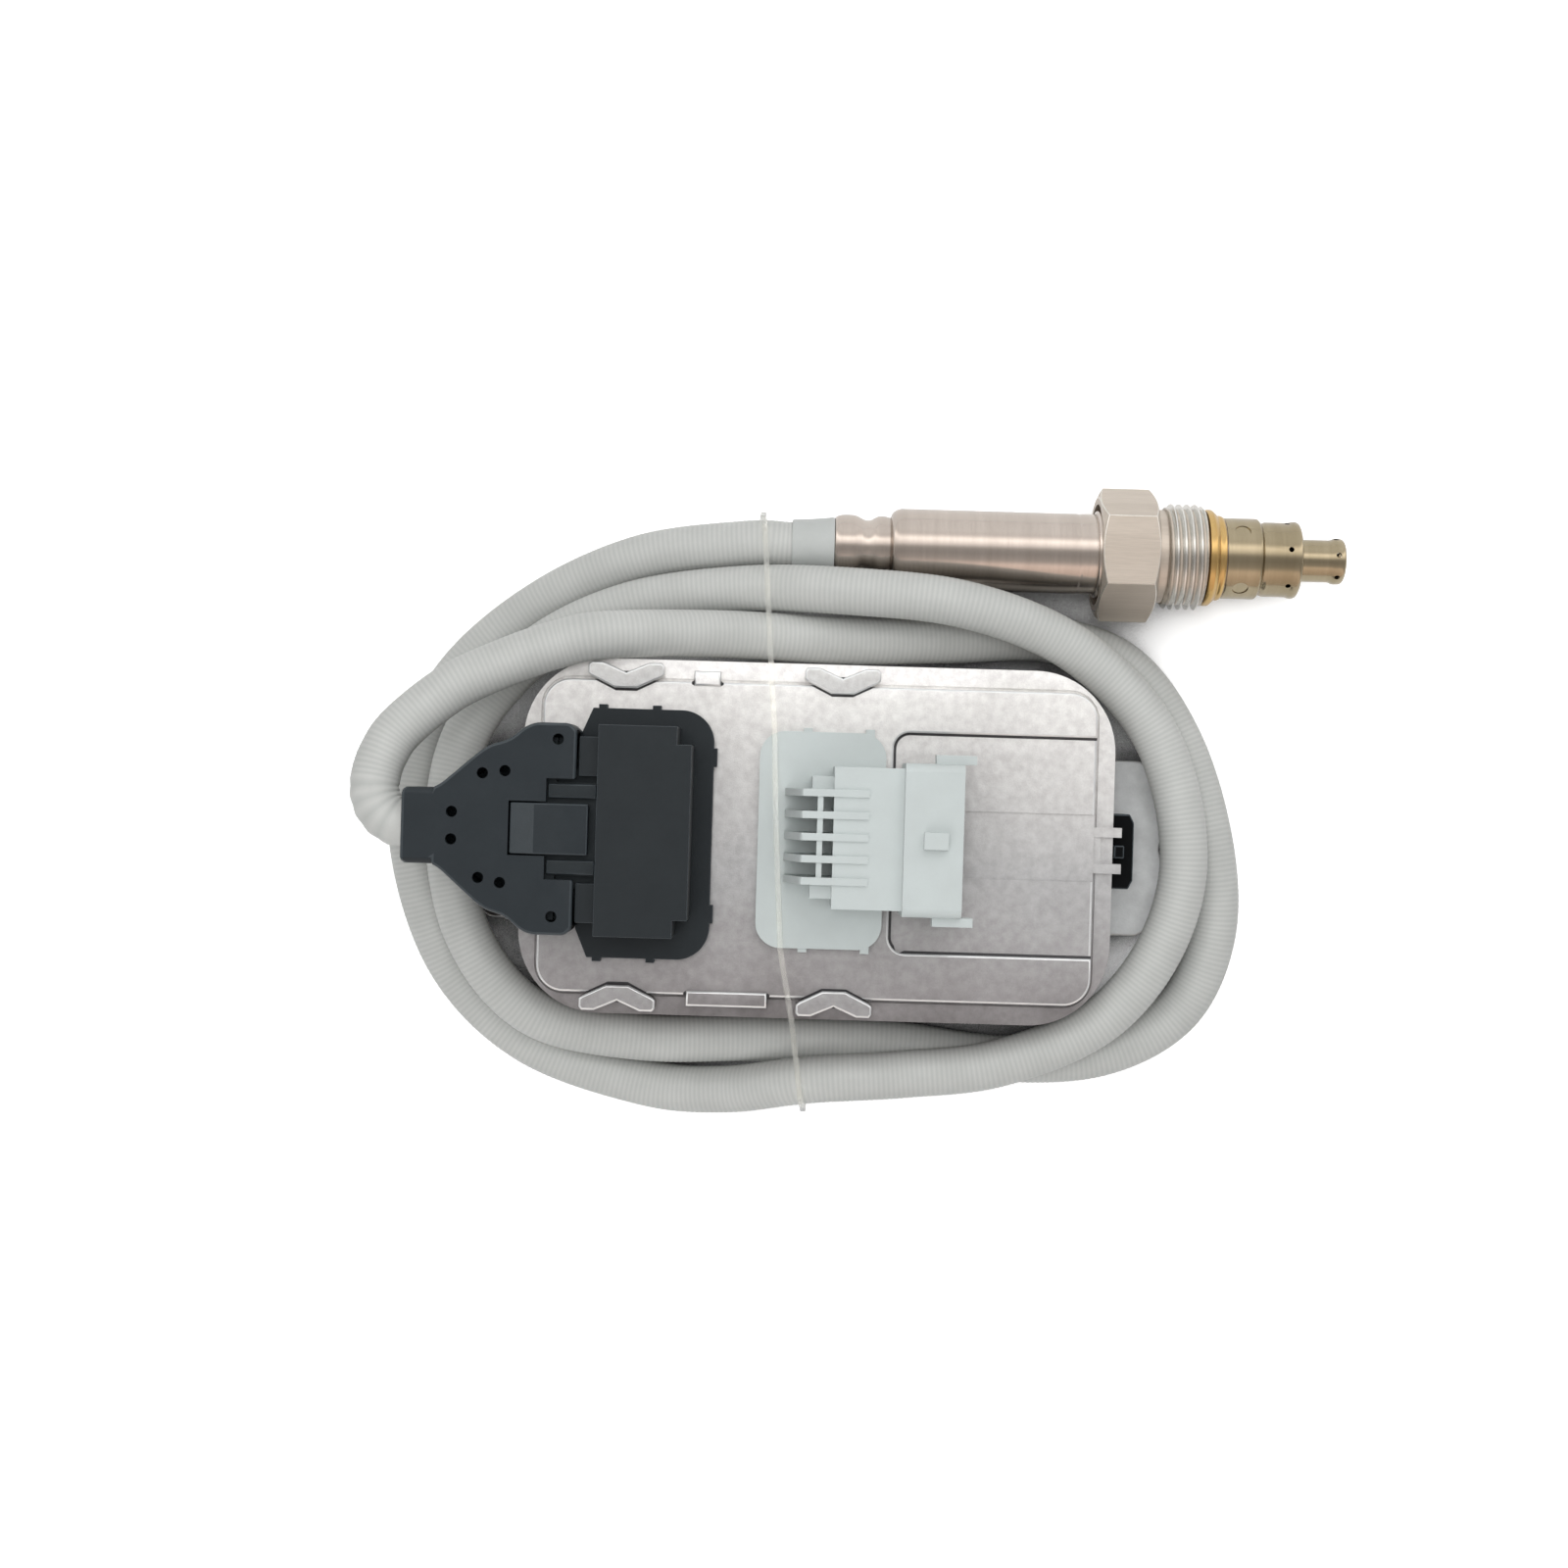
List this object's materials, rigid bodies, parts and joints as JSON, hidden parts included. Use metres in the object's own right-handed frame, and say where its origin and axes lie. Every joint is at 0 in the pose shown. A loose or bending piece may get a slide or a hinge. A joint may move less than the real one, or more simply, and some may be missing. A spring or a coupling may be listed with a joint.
{
  "type": "nitrogen oxide sensor",
  "caption": "Exhaust gas sensor with a die-cast control unit, plugs on its top face, a ribbed hose wound round it and a screw-in probe with a free-turning hollow screw.",
  "frame": {"origin": "midway between the two fixing holes of the control unit, on the mounting face of its ears", "axes": "+X along the unit and the probe, towards the probe's tip; +Y from the unit to the probe's side; +Z away from the mounting face"},
  "size_m": [0.1835, 0.1216, 0.0446],
  "materials": {
    "cast_lower": "matt die-cast",
    "cast_upper": "die-cast, lightly blasted, satin",
    "gasket_rubber": "matt",
    "zinc_screws": "zinc-plated",
    "board_laminate": "solder mask",
    "board_components": "moulded",
    "vent_plastic": "satin",
    "header_black": "glass-filled, matt",
    "contact_plate": "tin-plated brass",
    "plug_black": "glass-filled, matt",
    "insert_black": "matt",
    "header_grey": "smooth, slightly translucent",
    "hose_grey": "matt, ribbed",
    "band_clear": "translucent elastic",
    "stainless": "turned, warm grey",
    "screw_nickel": "nickel-plated, satin",
    "collar_gold": "heat-tinted golden",
    "guard_gold": "heat-tinted bronze",
    "ceramic_white": "sintered, matt"
  },
  "bodies": {
    "sensor": {"lower_housing": "cast_lower", "upper_housing": "cast_upper", "housing_gasket": "gasket_rubber", "housing_screws": "zinc_screws", "circuit_board": "board_laminate", "board_parts": "board_components", "board_screws": "zinc_screws", "vent_cap": "vent_plastic", "cable_header": "header_black", "cable_contacts": "contact_plate", "plug_cover_top": "plug_black", "plug_cover_bottom": "plug_black", "plug_insert": "insert_black", "plug_latch": "plug_black", "plug_clips": "insert_black", "vehicle_header": "header_grey", "vehicle_contacts": "contact_plate", "hose": "hose_grey", "hose_collar": "hose_grey", "tie_band": "band_clear", "ferrule": "stainless", "probe_tube": "stainless", "stop_ring": "stainless", "sealing_collar": "collar_gold", "guard_tube": "guard_gold", "tip_tube": "guard_gold", "sensing_element": "ceramic_white", "front_insulator": "ceramic_white", "rear_insulator": "ceramic_white"},
    "screw": {"hollow_screw": "screw_nickel"}
  },
  "joints": [
    {"name": "screw_turn", "type": "hinge", "parent": "sensor", "child": "screw", "pos_m": [0.06, 0.0559, 0.011], "axis": [1, 0, 0], "continuous": true}
  ]
}
